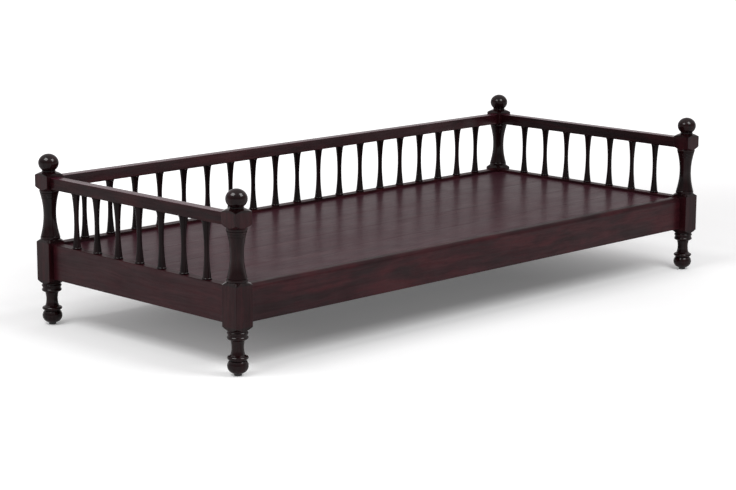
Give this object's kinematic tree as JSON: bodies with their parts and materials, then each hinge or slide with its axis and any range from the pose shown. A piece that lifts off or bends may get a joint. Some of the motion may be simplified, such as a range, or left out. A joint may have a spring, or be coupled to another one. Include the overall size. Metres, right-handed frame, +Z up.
{
  "type": "daybed",
  "caption": "Low takht daybed in dark polished wood: turned posts with ball finials, deep aprons, a boarded deck and a turned spindle gallery round the back and both ends; the front is open.",
  "frame": {"origin": "On the floor, under the centre of the daybed.", "axes": "+X runs along the bed, the open front faces -Y, +Z is up."},
  "size_m": [2.1356, 0.9266, 0.5329],
  "materials": {
    "turned_wood": "dark mahogany lacquer, gloss, on turned posts and finials",
    "spindle_wood": "dark mahogany lacquer, gloss, on thin turnings",
    "rail_wood": "dark mahogany lacquer, gloss, long grain",
    "apron_wood": "reddish brown mahogany lacquer, semi-gloss, figured grain",
    "deck_wood": "brown mahogany lacquer, high gloss, boards along the bed",
    "inner_wood": "plain sawn hardwood, unpolished",
    "screw_steel": "zinc plated",
    "glide_plastic": "hard black plastic"
  },
  "bodies": {
    "root": {"front_left_post": "turned_wood", "front_right_post": "turned_wood", "back_left_post": "turned_wood", "back_right_post": "turned_wood", "front_left_finial": "turned_wood", "front_right_finial": "turned_wood", "back_left_finial": "turned_wood", "back_right_finial": "turned_wood", "front_apron": "apron_wood", "back_apron": "apron_wood", "left_apron": "apron_wood", "right_apron": "apron_wood", "back_rail": "rail_wood", "left_rail": "rail_wood", "right_rail": "rail_wood", "back_spindle_01": "spindle_wood", "back_spindle_02": "spindle_wood", "back_spindle_03": "spindle_wood", "back_spindle_04": "spindle_wood", "back_spindle_05": "spindle_wood", "back_spindle_06": "spindle_wood", "back_spindle_07": "spindle_wood", "back_spindle_08": "spindle_wood", "back_spindle_09": "spindle_wood", "back_spindle_10": "spindle_wood", "back_spindle_11": "spindle_wood", "back_spindle_12": "spindle_wood", "back_spindle_13": "spindle_wood", "back_spindle_14": "spindle_wood", "back_spindle_15": "spindle_wood", "back_spindle_16": "spindle_wood", "back_spindle_17": "spindle_wood", "back_spindle_18": "spindle_wood", "back_spindle_19": "spindle_wood", "left_spindle_1": "spindle_wood", "left_spindle_2": "spindle_wood", "left_spindle_3": "spindle_wood", "left_spindle_4": "spindle_wood", "left_spindle_5": "spindle_wood", "left_spindle_6": "spindle_wood", "left_spindle_7": "spindle_wood", "right_spindle_1": "spindle_wood", "right_spindle_2": "spindle_wood", "right_spindle_3": "spindle_wood", "right_spindle_4": "spindle_wood", "right_spindle_5": "spindle_wood", "right_spindle_6": "spindle_wood", "right_spindle_7": "spindle_wood", "deck_board_1": "deck_wood", "deck_board_2": "deck_wood", "deck_board_3": "deck_wood", "deck_board_4": "deck_wood", "bearer_1": "inner_wood", "bearer_2": "inner_wood", "bearer_3": "inner_wood", "left_ledger": "inner_wood", "right_ledger": "inner_wood", "corner_braces": "inner_wood", "screws": "screw_steel", "foot_glides": "glide_plastic"}
  },
  "joints": []
}
